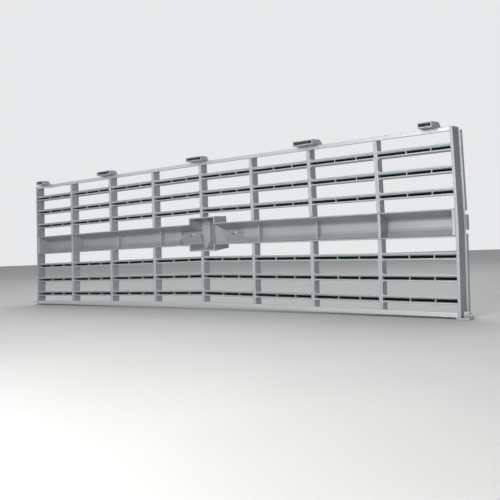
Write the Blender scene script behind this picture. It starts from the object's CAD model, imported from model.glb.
import math

import bmesh
import bpy
from mathutils import Matrix, Vector


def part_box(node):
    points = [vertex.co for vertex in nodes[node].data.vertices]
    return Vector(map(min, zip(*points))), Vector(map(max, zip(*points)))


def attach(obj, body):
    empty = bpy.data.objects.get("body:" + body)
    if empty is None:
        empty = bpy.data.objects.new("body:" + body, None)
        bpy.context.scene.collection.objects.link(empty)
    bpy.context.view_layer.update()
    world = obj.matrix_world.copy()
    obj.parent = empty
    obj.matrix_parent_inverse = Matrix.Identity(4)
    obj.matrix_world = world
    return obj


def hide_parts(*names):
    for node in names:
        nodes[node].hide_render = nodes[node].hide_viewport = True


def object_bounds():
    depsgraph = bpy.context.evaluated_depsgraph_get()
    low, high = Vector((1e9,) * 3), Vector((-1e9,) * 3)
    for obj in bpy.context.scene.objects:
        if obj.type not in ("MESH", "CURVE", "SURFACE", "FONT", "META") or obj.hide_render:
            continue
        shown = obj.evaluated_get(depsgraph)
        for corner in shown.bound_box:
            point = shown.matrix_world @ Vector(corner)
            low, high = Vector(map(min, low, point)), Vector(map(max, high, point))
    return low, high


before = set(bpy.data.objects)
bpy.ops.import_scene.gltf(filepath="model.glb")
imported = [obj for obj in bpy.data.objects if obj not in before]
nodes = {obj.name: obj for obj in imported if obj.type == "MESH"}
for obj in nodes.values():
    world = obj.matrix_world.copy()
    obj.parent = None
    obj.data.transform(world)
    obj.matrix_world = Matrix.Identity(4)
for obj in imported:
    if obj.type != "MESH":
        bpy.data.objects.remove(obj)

cadLow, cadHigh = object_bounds()
print("frame loaded:", len(nodes), "nodes")


# shader sheets: sockets that take part in Python sums

class Wire:
    def __init__(self, sheet, socket):
        self.sheet, self.socket = sheet, socket

    def __add__(self, other):
        return self.sheet.sum("ADD", self, other)

    def __sub__(self, other):
        return self.sheet.sum("SUBTRACT", self, other)

    def __mul__(self, other):
        return self.sheet.sum("MULTIPLY", self, other)

    def __rsub__(self, other):
        return self.sheet.sum("SUBTRACT", other, self)

    __radd__, __rmul__ = __add__, __mul__


class Graph:
    def __init__(self, tree):
        self.tree = tree

    def node(self, kind, settings, values, output=0):
        made = self.tree.nodes.new(kind)
        for key, value in settings.items():
            if key == "stops":
                self.fillRamp(made.color_ramp, value)
            else:
                setattr(made, key, value)
        for key, value in values.items():
            self.plug(made.inputs[key], value)
        return Wire(self, made.outputs[output])

    def fillRamp(self, ramp, stops):
        while len(ramp.elements) < len(stops):
            ramp.elements.new(0.5)
        for element, (place, colour) in zip(ramp.elements, stops):
            element.position = place
            element.color = (*colour, 1.0) if isinstance(colour, tuple) else (colour,) * 3 + (1.0,)

    def plug(self, socket, value):
        if isinstance(value, Wire):
            self.tree.links.new(value.socket, socket)
        elif isinstance(value, tuple) and len(value) == 3 and socket.type == "RGBA":
            socket.default_value = (*value, 1.0)
        else:
            socket.default_value = value

    def sum(self, kind, left, right):
        return self.node("ShaderNodeMath", {"operation": kind}, {0: left, 1: right})

    def clamp(self, value, low, high):
        ends = {"Value": value, "From Min": low, "From Max": high}
        return self.node("ShaderNodeMapRange", {"interpolation_type": "SMOOTHSTEP"}, ends)

    def noise(self, scale, detail=3.0, rough=0.5, where=None):
        values = {"Scale": scale, "Detail": detail, "Roughness": rough}
        values["Vector"] = where or self.place()
        return self.node("ShaderNodeTexNoise", {}, values)

    def place(self, stretch=None):
        here = self.node("ShaderNodeTexCoord", {}, {}, "Object")
        if stretch is None:
            return here
        return self.node("ShaderNodeVectorMath", {"operation": "MULTIPLY"}, {0: here, 1: stretch})

    def blend(self, factor, first, second, kind="MIX"):
        values = {"Factor": factor, 6: first, 7: second}
        return self.node("ShaderNodeMix", {"data_type": "RGBA", "blend_type": kind}, values, 2)

    def bump(self, height, strength, distance, under=None):
        values = {"Height": height, "Strength": strength, "Distance": distance}
        if under:
            values["Normal"] = under
        return self.node("ShaderNodeBump", {}, values)


class Sheet(Graph):
    def __init__(self, name, slotColour):
        self.material = bpy.data.materials.new(name)
        self.material.use_nodes = True
        self.material.diffuse_color = (*slotColour, 1.0)
        super().__init__(self.material.node_tree)
        self.shader = self.tree.nodes["Principled BSDF"]

    def finish(self, **values):
        for key, value in values.items():
            self.plug(self.shader.inputs[key.replace("_", " ")], value)
        return self.material


# finishes

paintLook = {
    "colour": (0.47, 0.495, 0.51),      # satin silver lacquer
    "thin": (0.33, 0.36, 0.375),        # where the coat is thin
    "dust": (0.60, 0.59, 0.57),
    "metallic": 0.38,
    "roughness": 0.40,
    "cloud": 7.0,                       # patches per metre
    "cloudEdge": (0.35, 0.75),          # noise between which a patch fades in
    "cloudRough": 0.07,
    "peel": 430.0,                      # orange peel
    "peelBump": (0.10, 0.0004),         # strength and height
    "flake": 2600.0,
    "flakeBump": (0.05, 0.0001),
    "flakeRough": 0.10,
    "speckle": ((0.30, 0.86), (0.50, 1.0), (0.72, 1.12)),   # flake noise and its shade
    "speckleShare": 0.55,
    "dustFacing": (0.55, 0.98),         # how far up a face looks where dust settles
    "dustPatch": 38.0,
    "dustEdge": (0.42, 0.70),
    "dustShare": 0.35,
    "dustRough": 0.20,
    "scuff": 55.0,
    "scuffStretch": (1.0, 1.0, 7.0),
    "scuffEdge": (0.60, 0.74),
    "scuffShare": 0.22,
    "scuffPale": 1.35,
    "scuffRough": 0.06,
    "coat": 0.12,
    "coatRough": 0.25,
}


def silverPaint(name, tint=1.0, thinness=0.35, metallic=None, roughness=None):
    look = paintLook
    body = tuple(c * tint for c in look["colour"])
    sheet = Sheet(name, body)
    cloud = sheet.clamp(sheet.noise(look["cloud"], 4.0, 0.6), *look["cloudEdge"])
    flake = sheet.noise(look["flake"], 1.0)
    thin = tuple(c * tint for c in look["thin"])
    coat = sheet.blend(cloud * thinness, body, thin)
    speckle = sheet.node("ShaderNodeValToRGB", {"stops": look["speckle"]}, {"Fac": flake})
    coat = sheet.blend(look["speckleShare"], coat, speckle, "MULTIPLY")
    facing = sheet.node("ShaderNodeNewGeometry", {}, {}, "Normal")
    up = sheet.node("ShaderNodeSeparateXYZ", {}, {"Vector": facing}, "Z")
    patches = sheet.clamp(sheet.noise(look["dustPatch"], 5.0, 0.65), *look["dustEdge"])
    settled = sheet.clamp(up, *look["dustFacing"]) * patches
    coat = sheet.blend(settled * look["dustShare"], coat, look["dust"])
    scratch = sheet.noise(look["scuff"], 6.0, 0.75, sheet.place(look["scuffStretch"]))
    scuffed = sheet.clamp(scratch, *look["scuffEdge"])
    pale = tuple(min(1.0, c * look["scuffPale"]) for c in body)
    coat = sheet.blend(scuffed * look["scuffShare"], coat, pale)
    peel = sheet.noise(look["peel"], 2.0)
    shape = sheet.bump(peel, *look["peelBump"])
    shape = sheet.bump(flake, *look["flakeBump"], shape)
    gloss = look["roughness"] if roughness is None else roughness
    rough = gloss + cloud * look["cloudRough"] + settled * look["dustRough"]
    rough = rough + (flake - 0.5) * look["flakeRough"] - scuffed * look["scuffRough"]
    return sheet.finish(
        Base_Color=coat, Roughness=rough, Normal=shape,
        Coat_Weight=look["coat"], Coat_Roughness=look["coatRough"],
        Metallic=look["metallic"] if metallic is None else metallic,
    )


hollowLook = {
    "paint": (0.86, 0.93, 0.92),
    "mist": (0.15, 0.24, 0.26),          # overspray on the dark plastic
    "plastic": (0.010, 0.013, 0.018),
    "ends": (0.30, 0.52, 0.74),          # depths at which each of the three is pure
    "drift": 24.0,
    "driftShare": 0.10,                  # how far the drift moves those depths
    "grain": 900.0,
    "grainShare": 0.06,
    "grainBump": (0.12, 0.0002),
    "bareEdge": (0.05, 0.50),
    "roughness": 0.44,
    "bareRough": 0.12,
    "grainRough": 0.1,
    "metallic": 0.3,
}


def hollowPlastic(name):
    # overspray that dies away from the rim into bare black plastic
    look = hollowLook
    sheet = Sheet(name, look["plastic"])
    depth = sheet.node("ShaderNodeAttribute", {"attribute_name": "hollow"}, {}, "Fac")
    grain = sheet.noise(look["grain"], 2.0)
    drift = sheet.noise(look["drift"], 4.0, 0.6)
    deep = depth + (drift - 0.5) * look["driftShare"] + (grain - 0.5) * look["grainShare"]
    stops = tuple(zip(look["ends"], (look["paint"], look["mist"], look["plastic"])))
    colour = sheet.node("ShaderNodeValToRGB", {"stops": stops}, {"Fac": deep})
    bare = sheet.clamp(deep, *look["bareEdge"])
    rough = look["roughness"] + bare * look["bareRough"] + (grain - 0.5) * look["grainRough"]
    return sheet.finish(
        Base_Color=colour, Roughness=rough, Metallic=(1 - bare) * look["metallic"],
        Normal=sheet.bump(grain, *look["grainBump"]),
    )


clipLook = {
    "colour": (0.27, 0.285, 0.29),
    "pale": (0.38, 0.39, 0.39),
    "rub": 120.0,
    "rubStretch": (1.0, 1.0, 0.25),
    "rubEdge": (0.45, 0.7),
    "rubShare": 0.6,
    "rubRough": 0.1,
    "grain": 1500.0,
    "grainBump": (0.10, 0.0002),
    "roughness": 0.48,
    "metallic": 0.1,
}


def clipPlastic(name):
    look = clipLook
    sheet = Sheet(name, look["colour"])
    streaks = sheet.noise(look["rub"], 5.0, 0.7, sheet.place(look["rubStretch"]))
    rub = sheet.clamp(streaks, *look["rubEdge"])
    grain = sheet.noise(look["grain"], 2.0)
    return sheet.finish(
        Base_Color=sheet.blend(rub * look["rubShare"], look["colour"], look["pale"]),
        Roughness=look["roughness"] - rub * look["rubRough"], Metallic=look["metallic"],
        Normal=sheet.bump(grain, *look["grainBump"]),
    )


finishes = {
    "rail": silverPaint("rail_paint", 1.22, 0.20),
    "wall": silverPaint("wall_paint", 0.84, 0.45, 0.30, 0.46),
    "louvre": silverPaint("louvre_paint", 1.0, 0.30),
    "bar": silverPaint("bar_paint", 1.03, 0.30),
    "trough": silverPaint("trough_paint", 0.84, 0.45, 0.25, 0.47),
    "web": silverPaint("web_paint", 0.98, 0.40, 0.25, 0.46),
    "pocket": silverPaint("pocket_paint", 0.96, 0.45, 0.25, 0.46),
    "tab": silverPaint("tab_paint", 0.98, 0.30, 0.28, 0.45),
    "clip": clipPlastic("clip_plastic"),
    "lug": silverPaint("lug_paint", 1.06, 0.25, 0.30, 0.44),
}
hollowFinish = hollowPlastic("hollow_plastic")
print("finishes made:", len(finishes) + 1)


# pieces

reading = {
    "weld": 1e-6,           # corners this close are one
    "plane": 1e-4,          # and these stand at one place along an axis
    "flat": 0.3,            # degrees between faces that are one face
    "inside": 0.0008,       # least depth of a hollow's corner in the outline's hull
    "endFace": 0.9,         # least lean along the width of an end face's normal
    "endBand": 0.004,       # and how near the end it stands
    "straight": 0.01,       # a bend smaller than this is no corner
    "mouth": 0.003,         # a hollow's mouth lies this near the rear
    "rim": 0.0035,          # and so does an outer face's first corner
    "ahead": 0.008,         # the face's other end lies at least this far on
    "past": 0.004,          # a piece may meet a bar this far past its end
    "barEnd": 0.02,         # height of the stretch that holds a bar's end corners
}

softening = {"angle": 28.0, "sharp": 40.0, "segments": 3, "weight": 60}


def place(name, mesh, slots):
    piece = bpy.data.objects.new(name, mesh)
    bpy.context.scene.collection.objects.link(piece)
    for material in slots:
        mesh.materials.append(material)
    return piece


def smoothed(piece):
    piece.data.shade_smooth()
    piece.data.set_sharp_from_angle(angle=math.radians(softening["sharp"]))


def soften(piece, width, segments=softening["segments"]):
    if width:
        bevel = piece.modifiers.new("rounding", "BEVEL")
        bevel.width, bevel.segments = width, segments
        bevel.limit_method, bevel.angle_limit = "ANGLE", math.radians(softening["angle"])
        bevel.use_clamp_overlap = True
    smoothed(piece)
    normals = piece.modifiers.new("normals", "WEIGHTED_NORMAL")
    normals.keep_sharp, normals.weight = True, softening["weight"]


def settle(piece, slot, *replaced):
    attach(piece, "root")
    if replaced:
        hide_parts(*replaced)


def cleanCopy(node):
    bm = bmesh.new()
    bm.from_mesh(nodes[node].data)
    bmesh.ops.remove_doubles(bm, verts=bm.verts, dist=reading["weld"])
    flat = math.radians(reading["flat"])
    bmesh.ops.dissolve_limit(bm, angle_limit=flat, verts=bm.verts, edges=bm.edges)
    bmesh.ops.recalc_face_normals(bm, faces=bm.faces)
    return bm


def toMesh(bm, name):
    mesh = bpy.data.meshes.new(name)
    bm.to_mesh(mesh)
    bm.free()
    return mesh


# the moulding's bends, read off the rails

def cornersAt(node, x):
    return [v.co for v in nodes[node].data.vertices if abs(v.co.x - x) < reading["plane"]]


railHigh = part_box("bottom_rail")[1]
reach = railHigh.x                                    # half width between the end walls
midRim = min(cornersAt("bottom_rail", 0), key=lambda co: (round(co.y, 5), co.z))
endRim = min(cornersAt("bottom_rail", reach), key=lambda co: (round(co.y, 5), co.z))
sweepBack = (midRim.y - endRim.y) / reach             # rearward, per metre of width
droop = (midRim.z - endRim.z) / reach
barSpots = [(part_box(f"lower_bar_{i}")[0].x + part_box(f"lower_bar_{i}")[1].x) / 2 for i in range(1, 8)]
bay = barSpots[1] - barSpots[0]
print(f"bends: sweep {sweepBack:.4f}, droop {droop:.4f}, bay {bay:.4f}")


def sectionOf(node):
    # the corners of a node's right-hand end, in order round its outline
    bm = bmesh.new()
    bm.from_mesh(nodes[node].data)
    bmesh.ops.remove_doubles(bm, verts=bm.verts, dist=reading["weld"])
    edge = max(v.co.x for v in bm.verts)
    upright = [f for f in bm.faces if f.normal.x > reading["endFace"]]
    cap = {f for f in upright if min(v.co.x for v in f.verts) > edge - reading["endBand"]}
    rim = {}
    for face in cap:
        for loop in face.loops:
            if sum(other in cap for other in loop.edge.link_faces) == 1:
                rim[loop.vert.index] = loop.link_loop_next.vert.index
    bm.verts.ensure_lookup_table()
    order = [next(iter(rim))]
    while rim[order[-1]] != order[0]:
        order.append(rim[order[-1]])
    corners = [bm.verts[i].co.copy() for i in order]
    bm.free()
    kept = []
    for i, co in enumerate(corners):
        before, after = corners[i - 1], corners[(i + 1) % len(corners)]
        if ((co - before).normalized() - (after - co).normalized()).length > reading["straight"]:
            kept.append(co)
    return kept


def turnAt(before, co, after):
    inward, outward = co - before, after - co
    return inward.y * outward.z - inward.z * outward.y


def hullDepth(corners, co):
    # how far a corner lies inside the outline's convex hull
    best = 1e9
    for i, a in enumerate(corners):
        for b in corners[i + 1:]:
            along = b - a
            length = math.hypot(along.y, along.z)
            if length < reading["weld"]:
                continue
            sides = [(along.y * (c.z - a.z) - along.z * (c.y - a.y)) / length for c in corners]
            if min(sides) > -reading["weld"] or max(sides) < reading["weld"]:
                best = min(best, abs((along.y * (co.z - a.z) - along.z * (co.y - a.y)) / length))
    return best


def isHollow(corners, co):
    return hullDepth(corners, co) > reading["inside"]


def roundedSection(corners, outer, inner, steps=4):
    # each corner becomes an arc; every point also knows whether it lies in the hollow
    count = len(corners)
    turning = sum(turnAt(corners[i - 1], c, corners[(i + 1) % count]) for i, c in enumerate(corners))
    points = []
    for i, co in enumerate(corners):
        before, after = corners[i - 1], corners[(i + 1) % count]
        convex = turnAt(before, co, after) * turning > 0
        inside = 1.0 if isHollow(corners, co) else 0.0
        toBefore, toAfter = before - co, after - co
        radius = outer if convex else inner
        bend = toBefore.angle(toAfter)
        cut = min(radius / math.tan(bend / 2), 0.45 * toBefore.length, 0.45 * toAfter.length)
        first, last = co + toBefore.normalized() * cut, co + toAfter.normalized() * cut
        for k in range(steps + 1):
            t = k / steps
            point = first * (1 - t) ** 2 + co * 2 * t * (1 - t) + last * t ** 2
            points.append((point, inside))
    return points


def swept(name, section, stops, shift=None):
    # runs a section along the moulding; the stops are shares of the half width
    bm = bmesh.new()
    flag = bm.verts.layers.float.new("hollow")
    rings = []
    for t in stops:
        ring = []
        back = (1 - abs(t)) * reach
        for point, hollow in section:
            co = Vector((point.x * t, point.y + sweepBack * back, point.z + droop * back))
            if shift:
                co += shift(co, point)
            vertex = bm.verts.new(co)
            vertex[flag] = hollow
            ring.append(vertex)
        rings.append(ring)
    count = len(section)
    for a, b in zip(rings, rings[1:]):
        for i in range(count):
            j = (i + 1) % count
            face = bm.faces.new((a[i], b[i], b[j], a[j]))
            face.material_index = 1 if section[i][1] + section[j][1] > 0 else 0
    bm.faces.new(rings[0])
    bm.faces.new(reversed(rings[-1]))
    bmesh.ops.recalc_face_normals(bm, faces=bm.faces)
    return toMesh(bm, name)


def evenStops(low, high, pieces):
    return [low + (high - low) * i / pieces for i in range(pieces + 1)]


# rails

railShape = {"outer": 0.0011, "inner": 0.0022}


def makeRails():
    for node in ("top_rail", "bottom_rail"):
        section = roundedSection(sectionOf(node), railShape["outer"], railShape["inner"])
        mesh = swept(node + "_moulding", section, evenStops(-1, 1, 2 * len(barSpots) + 2))
        piece = place(node + "_moulding", mesh, [finishes["rail"], finishes["rail"]])
        soften(piece, 0)
        settle(piece, "rail", node)


# louvres

louvreShape = {
    "outer": 0.0011,
    "inner": 0.0016,
    "ribFirst": 0.0595,          # from the bar on the left to a rib
    "ribSpacing": 0.050,
    "ribThickness": 0.0020,
    "ribSetback": 0.0055,
    "ribSunk": 0.0006,           # how far a rib's edges lie in the skins
    "ribRounding": 0.0004,
    "ribs": 2,                   # in each bay
    "pieces": 32,                # along the width
}


def hollowCorners(corners):
    # the hollow's mouth, above and below, and its deepest corner
    deep = max((c for c in corners if isHollow(corners, c)), key=lambda c: c.y)
    rear = min(c.y for c in corners)
    mouth = sorted((c for c in corners if c.y < rear + reading["mouth"]), key=lambda c: c.z)
    return mouth[1], mouth[2], deep


def ribBlock(bm, corners, x):
    low, high, deep = hollowCorners(corners)
    shape = louvreShape
    t = abs(x) / reach
    rise = Vector((0, sweepBack, droop)) * (1 - t) * reach
    share = shape["ribSetback"] / (deep.y - high.y)
    sunk = Vector((0, 0, shape["ribSunk"]))
    outline = [
        low + (deep - low) * share - sunk, deep - sunk, deep + sunk, high + (deep - high) * share + sunk,
    ]
    ends = []
    for side in (-1, 1):
        along = x + side * shape["ribThickness"] / 2
        ends.append([bm.verts.new(Vector((along, c.y, c.z)) + rise) for c in outline])
    faces = [bm.faces.new(ends[0]), bm.faces.new(reversed(ends[1]))]
    for i in range(len(outline)):
        j = (i + 1) % len(outline)
        faces.append(bm.faces.new((ends[0][j], ends[0][i], ends[1][i], ends[1][j])))
    bmesh.ops.recalc_face_normals(bm, faces=faces)


def makeLouvres():
    shape = louvreShape
    for node in [f"{group}_louvre_{i}" for group in ("upper", "lower") for i in (1, 2, 3)]:
        corners = sectionOf(node)
        section = roundedSection(corners, shape["outer"], shape["inner"])
        mesh = swept(node + "_blade", section, evenStops(-1, 1, shape["pieces"]))
        piece = place(node + "_blade", mesh, [finishes["louvre"], hollowFinish])
        soften(piece, 0)
        settle(piece, "louvre", node)
        bm = bmesh.new()
        for left in [barSpots[0] - bay] + barSpots:
            for number in range(shape["ribs"]):
                ribBlock(bm, corners, left + shape["ribFirst"] + number * shape["ribSpacing"])
        ribs = place(node + "_ribs", toMesh(bm, node + "_ribs"), [finishes["louvre"]])
        soften(ribs, shape["ribRounding"], 2)
        settle(ribs, "louvre")


# upright bars, with a small fillet in each corner that they make

barShape = {
    "rounding": 0.0008,
    "fillet": 0.0042,
    "filletSteps": 5,
    "filletStart": 0.0005,       # behind the rim
    "filletDepth": 0.019,
    "sunk": 0.0005,
}


def filletStrip(bm, near, far, across, upward):
    # a concave quarter round between a bar's side and the face it meets
    shape = barShape
    radius, steps = shape["fillet"], shape["filletSteps"]
    rings = []
    for corner in (near, far):
        start = corner - (across + upward) * shape["sunk"]
        ring = [start, start + across * radius]
        for k in range(steps + 1):
            turn = math.pi / 2 * k / steps
            out, rise = 1 - math.sin(turn), 1 - math.cos(turn)
            ring.append(corner + across * radius * out + upward * radius * rise)
        ring.append(start + upward * radius)
        rings.append([bm.verts.new(co) for co in ring])
    faces = [bm.faces.new(rings[0]), bm.faces.new(reversed(rings[1]))]
    for i in range(len(rings[0])):
        j = (i + 1) % len(rings[0])
        faces.append(bm.faces.new((rings[0][j], rings[0][i], rings[1][i], rings[1][j])))
    bmesh.ops.recalc_face_normals(bm, faces=faces)


def outerLines(node):
    # upper and lower outer faces of a crossing piece at its end: start, slope with depth, side
    corners = sectionOf(node)
    rear = min(c.y for c in corners)
    atRim = [c for c in corners if c.y < rear + reading["rim"]]
    lines = []
    for pick, sign in ((max, 1), (min, -1)):
        start = pick(atRim, key=lambda c: c.z)
        ahead = [c for c in corners if c.y > start.y + reading["ahead"]]
        slopes = [(c.z - start.z) / (c.y - start.y) for c in ahead]
        lines.append((start, pick(slopes), sign))
    return lines


def crossings(bar, x, spot):
    # creases between one bar and every piece that it meets between its ends
    low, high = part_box(bar)
    past = reading["past"]
    back = reach - abs(x)
    for node in spot:
        for start, slope, sign in outerLines(node):
            level = start.z + droop * back
            if not low.z - past < level < high.z + past:
                continue
            for side in (-1, 1):
                yield start, slope, sign, side, level, back


def barSide(bar, side, level):
    # where the bar's side face stands at a height, from its corner lines
    points = sorted((v.co.z, side * v.co.x) for v in nodes[bar].data.vertices)
    top = max(p[1] for p in points if p[0] > points[-1][0] - reading["barEnd"])
    bottom = max(p[1] for p in points if p[0] < points[0][0] + reading["barEnd"])
    share = (level - points[0][0]) / (points[-1][0] - points[0][0])
    return side * (bottom + (top - bottom) * share)


def makeFillets(bar, x, crossed):
    shape = barShape
    bm = bmesh.new()
    for start, slope, sign, side, level, back in crossings(bar, x, crossed):
        edge = barSide(bar, side, level)
        rear = start.y + sweepBack * back
        ends = []
        for depth in (shape["filletStart"], shape["filletDepth"]):
            ends.append(Vector((edge, rear + depth, level + slope * depth)))
        filletStrip(bm, ends[0], ends[1], Vector((side, 0, 0)), Vector((0, 0, sign)))
    return bm


def makeBars():
    for group in ("upper", "lower"):
        crossed = [f"{group}_louvre_{i}" for i in (1, 2, 3)]
        for i, x in enumerate(barSpots, 1):
            bar = f"{group}_bar_{i}"
            piece = place(bar + "_upright", toMesh(cleanCopy(bar), bar), [finishes["bar"]])
            soften(piece, barShape["rounding"])
            settle(piece, "bar", bar)
            mesh = toMesh(makeFillets(bar, x, crossed), bar + "_fillets")
            fillets = place(bar + "_fillets", mesh, [finishes["bar"]])
            smoothed(fillets)
            settle(fillets, "bar")


# centre bar

troughShape = {
    "outer": 0.0011,
    "softInner": 0.0070,          # along the floor's edges
    "softCut": 0.0035,
    "sunkInner": 0.0026,          # in the sunk stretch
    "steps": 6,
    "inPocket": 0.0034,           # how far its ends reach into the pocket's sides
    "seatHalf": 0.098,            # half length of the sunk floor
    "seatStep": 0.010,
    "seatInset": 0.0006,          # of its lower edge from the lower wall
    "lean": 0.002,                # most that the floor's two edges differ in depth
    "seatBlend": 0.0045,
    "holeSides": 40,
    "drill": 0.03,                # length of the stud hole's cutter
    "studFrom": 0.055,            # the hole's edge lies between these, off the middle
    "studTo": 0.080,
    "studDeep": 0.016,            # this near the front
    "studHalf": 0.008,            # and this near the middle height
    "seatPieces": 6,
    "blendPieces": 7,
    "farPieces": 14,
}


def smooth(t):
    t = max(0.0, min(1.0, t))
    return t * t * (3 - 2 * t)


def troughCorners(corners, sunk):
    # each inner edge of the floor becomes two corners, so that the floor can sink between them
    shape = troughShape
    inner = [c for c in corners if isHollow(corners, c)]
    floor = max(c.y for c in inner)
    front = max(c.y for c in corners)
    step = Vector((0, shape["seatStep"], 0))
    ends = sorted((c for c in inner if c.y > floor - shape["lean"]), key=lambda c: c.z)
    down = (ends[0] - ends[-1]).normalized()
    halfway = (ends[0].z + ends[-1].z) / 2

    def lowered(co, level):
        # on the lower side, the sunk floor runs down to the lower wall
        return co + down * ((co.z - level) / -down.z) if co.z < halfway else co

    ledge = min(c.z for c in inner) + shape["seatInset"]
    under = min(c.z for c in corners) + shape["seatInset"]
    made = []
    for i, co in enumerate(corners):
        before, after = corners[i - 1], corners[(i + 1) % len(corners)]
        if co in ends:
            wallFirst = before.y < after.y
            wall, along = (before, after) if wallFirst else (after, before)
            if sunk:
                pair = [lowered(co, ledge), lowered(co, ledge) + step]
            else:
                cut = shape["softCut"]
                pair = [co + (wall - co).normalized() * cut, co + (along - co).normalized() * cut]
            made += pair if wallFirst else pair[::-1]
        elif co.y > front - shape["lean"] and sunk:
            made.append(lowered(co, under) + step)
        else:
            made.append(co)
    return made


def makeTrough():
    shape = troughShape
    node = "centre_bar_right"
    corners = sectionOf(node)
    outer, steps = shape["outer"], shape["steps"]
    plain = roundedSection(troughCorners(corners, False), outer, shape["softInner"], steps)
    sunk = roundedSection(troughCorners(corners, True), outer, shape["sunkInner"], steps)
    moves = {id(a[0]): b[0] - a[0] for a, b in zip(plain, sunk)}
    start = (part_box(node)[0].x - shape["inPocket"]) / reach
    seat, band = shape["seatHalf"] / reach, shape["seatBlend"] / reach

    def shift(co, point):
        return moves[id(point)] * (1 - smooth((abs(co.x) / reach - seat) / band))

    stops = evenStops(start, seat, shape["seatPieces"])
    stops += evenStops(seat + band / (shape["blendPieces"] + 1), seat + band, shape["blendPieces"])
    stops += evenStops(seat + 2 * band, 1, shape["farPieces"])
    for side, name in ((-1, "left"), (1, "right")):
        mesh = swept(f"centre_bar_{name}_trough", plain, [side * t for t in stops], shift)
        for face in mesh.polygons:
            face.material_index = 0
        piece = place(f"centre_bar_{name}_trough", mesh, [finishes["trough"]])
        cutHole(piece, side)
        soften(piece, 0)
        settle(piece, "trough", f"centre_bar_{name}")


def studSpot(side):
    # middle and radius of the stud hole, from the CAD node's round edge
    shape = troughShape
    name = "left" if side < 0 else "right"
    low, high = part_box(f"centre_bar_{name}")
    level = (low.z + high.z) / 2
    corners = [v.co for v in nodes[f"centre_bar_{name}"].data.vertices]
    ring = [
        co for co in corners if shape["studFrom"] < abs(co.x) < shape["studTo"]
        and co.y > high.y - shape["studDeep"] and abs(co.z - level) < shape["studHalf"]
    ]
    middle = sum(ring, Vector()) / len(ring)
    return middle, max(abs(co.x - middle.x) for co in ring)


def cutHole(piece, side):
    middle, radius = studSpot(side)
    bm = bmesh.new()
    turn = Matrix.Translation(middle) @ Matrix.Rotation(math.pi / 2, 4, "X")
    bmesh.ops.create_cone(
        bm, cap_ends=True, segments=troughShape["holeSides"], radius1=radius, radius2=radius,
        depth=troughShape["drill"], matrix=turn,
    )
    cutter = place(piece.name + "_cutter", toMesh(bm, "cutter"), [])
    cut = piece.modifiers.new("hole", "BOOLEAN")
    cut.object, cut.operation, cut.solver = cutter, "DIFFERENCE", "EXACT"
    graph = bpy.context.evaluated_depsgraph_get()
    piece.data = bpy.data.meshes.new_from_object(piece.evaluated_get(graph))
    piece.modifiers.clear()
    bpy.data.objects.remove(cutter, do_unlink=True)


# pieces that keep the CAD's outline, with rounded edges

softened = {
    "web": (0.0007, [f"gusset_{i}" for i in (0, 1, 7, 8)] + [f"divider_{i}" for i in range(2, 7)]),
    "pocket": (0.0010, ["emblem_pocket"]),
    "wall": (0.0008, ["left_end_wall", "right_end_wall"]),
    "clip": (0.0006, ["left_side_clip", "right_side_clip"]),
    "tab": (0.0008, [f"top_tab_{i}" for i in range(1, 6)]),
    "lug": (0.0008, ["left_corner_lug", "right_corner_lug"]),
}


def makeSoftened():
    for slot, (width, names) in softened.items():
        for node in names:
            piece = place(node + "_moulding", toMesh(cleanCopy(node), node), [finishes[slot]])
            soften(piece, width)
            settle(piece, slot, node)


makeRails()
print("rails made")
makeLouvres()
print("louvres made")
makeBars()
print("bars made")
makeTrough()
print("centre bar made")
makeSoftened()
print("softened pieces made")


# stage, light and camera

stageLook = {
    "size": 14.0,
    "sides": 96,
    "gap": 0.0002,                      # under the lowest point
    "colour": (0.62, 0.62, 0.612),
    "mottle": (0.57, 0.57, 0.565),
    "mottleScale": 3.0,
    "mottleEdge": (0.35, 0.65),
    "mottleShare": 0.5,
    "grain": 500.0,
    "grainBump": (0.05, 0.0003),
    "grainRough": 0.1,
    "roughness": 0.75,
}


def makeFloor():
    look = stageLook
    bm = bmesh.new()
    bmesh.ops.create_circle(bm, cap_ends=True, segments=look["sides"], radius=look["size"])
    sheet = Sheet("floor_paper", look["colour"])
    mottle = sheet.clamp(sheet.noise(look["mottleScale"], 5.0, 0.6), *look["mottleEdge"])
    grain = sheet.noise(look["grain"], 2.0)
    made = sheet.finish(
        Base_Color=sheet.blend(mottle * look["mottleShare"], look["colour"], look["mottle"]),
        Roughness=look["roughness"] + (grain - 0.5) * look["grainRough"],
        Normal=sheet.bump(grain, *look["grainBump"]),
    )
    floor = place("studio_floor", toMesh(bm, "studio_floor"), [made])
    floor.location.z = cadLow.z - look["gap"]


lights = {
    "key": {"at": (0.50, -1.50, 0.58), "size": 0.7, "power": 17.0, "colour": (1.0, 0.99, 0.97)},
    "far": {"at": (-2.6, -2.4, 1.6), "size": 2.0, "power": 14.0, "colour": (0.97, 0.985, 1.0)},
    "top": {"at": (-0.3, 0.9, 2.8), "size": 2.4, "power": 27.0, "colour": (1.0, 1.0, 1.0)},
}


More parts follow.
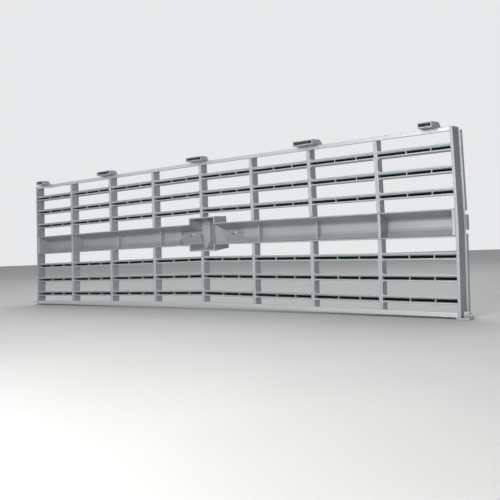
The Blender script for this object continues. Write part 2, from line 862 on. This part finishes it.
def makeLights():
    middle = (cadLow + cadHigh) / 2
    for name, plan in lights.items():
        lamp = bpy.data.lights.new(name, "AREA")
        lamp.shape, lamp.size = "DISK", plan["size"]
        lamp.energy, lamp.color = plan["power"], plan["colour"]
        holder = bpy.data.objects.new(name, lamp)
        holder.location = plan["at"]
        holder.rotation_euler = (middle - Vector(plan["at"])).to_track_quat("-Z", "Y").to_euler()
        bpy.context.scene.collection.objects.link(holder)


worldLook = {
    "towards": (-0.56, 0.82, 0.10),     # the paler wall
    "wall": (0.80, 0.81, 0.82),
    "room": (0.26, 0.265, 0.275),
    "edge": (0.25, 0.90),               # where the room turns into the wall
}


def makeWorld():
    # a dim room with one paler wall
    look = worldLook
    world = bpy.data.worlds.new("studio")
    world.use_nodes = True
    graph = Graph(world.node_tree)
    direction = graph.node("ShaderNodeTexCoord", {}, {}, "Generated")
    facing = graph.node(
        "ShaderNodeVectorMath", {"operation": "DOT_PRODUCT"}, {0: direction, 1: look["towards"]}, "Value",
    )
    colour = graph.blend(graph.clamp(facing, *look["edge"]), look["room"], look["wall"])
    graph.plug(world.node_tree.nodes["Background"].inputs["Color"], colour)
    bpy.context.scene.world = world


cameraPlan = {
    "from": (0.9534, -1.1612, -0.2252),   # from the middle of the top rail's rear rim
    "yaw": 0.60851,
    "pitch": 0.0033,
    "roll": -0.0343,
    "lens": 43.2,
}


def makeCamera():
    plan = cameraPlan
    rim = cornersAt("top_rail", 0)
    rear = min(co.y for co in rim)
    heights = [co.z for co in rim if co.y < rear + reading["plane"]]
    start = Vector((0, rear, (min(heights) + max(heights)) / 2))
    lens = bpy.data.cameras.new("camera")
    lens.lens = plan["lens"]
    camera = bpy.data.objects.new("camera", lens)
    turn = Matrix.Rotation(plan["yaw"], 4, "Z") @ Matrix.Rotation(math.pi / 2 + plan["pitch"], 4, "X")
    turn = turn @ Matrix.Rotation(plan["roll"], 4, "Z")
    camera.matrix_world = Matrix.Translation(start + Vector(plan["from"])) @ turn
    bpy.context.scene.collection.objects.link(camera)
    bpy.context.scene.camera = camera


makeFloor()
makeLights()
makeWorld()
makeCamera()
bpy.context.scene.view_settings.view_transform = "Standard"
print("stage, lights and camera set")

bpy.context.view_layer.update()
print("sizes written")
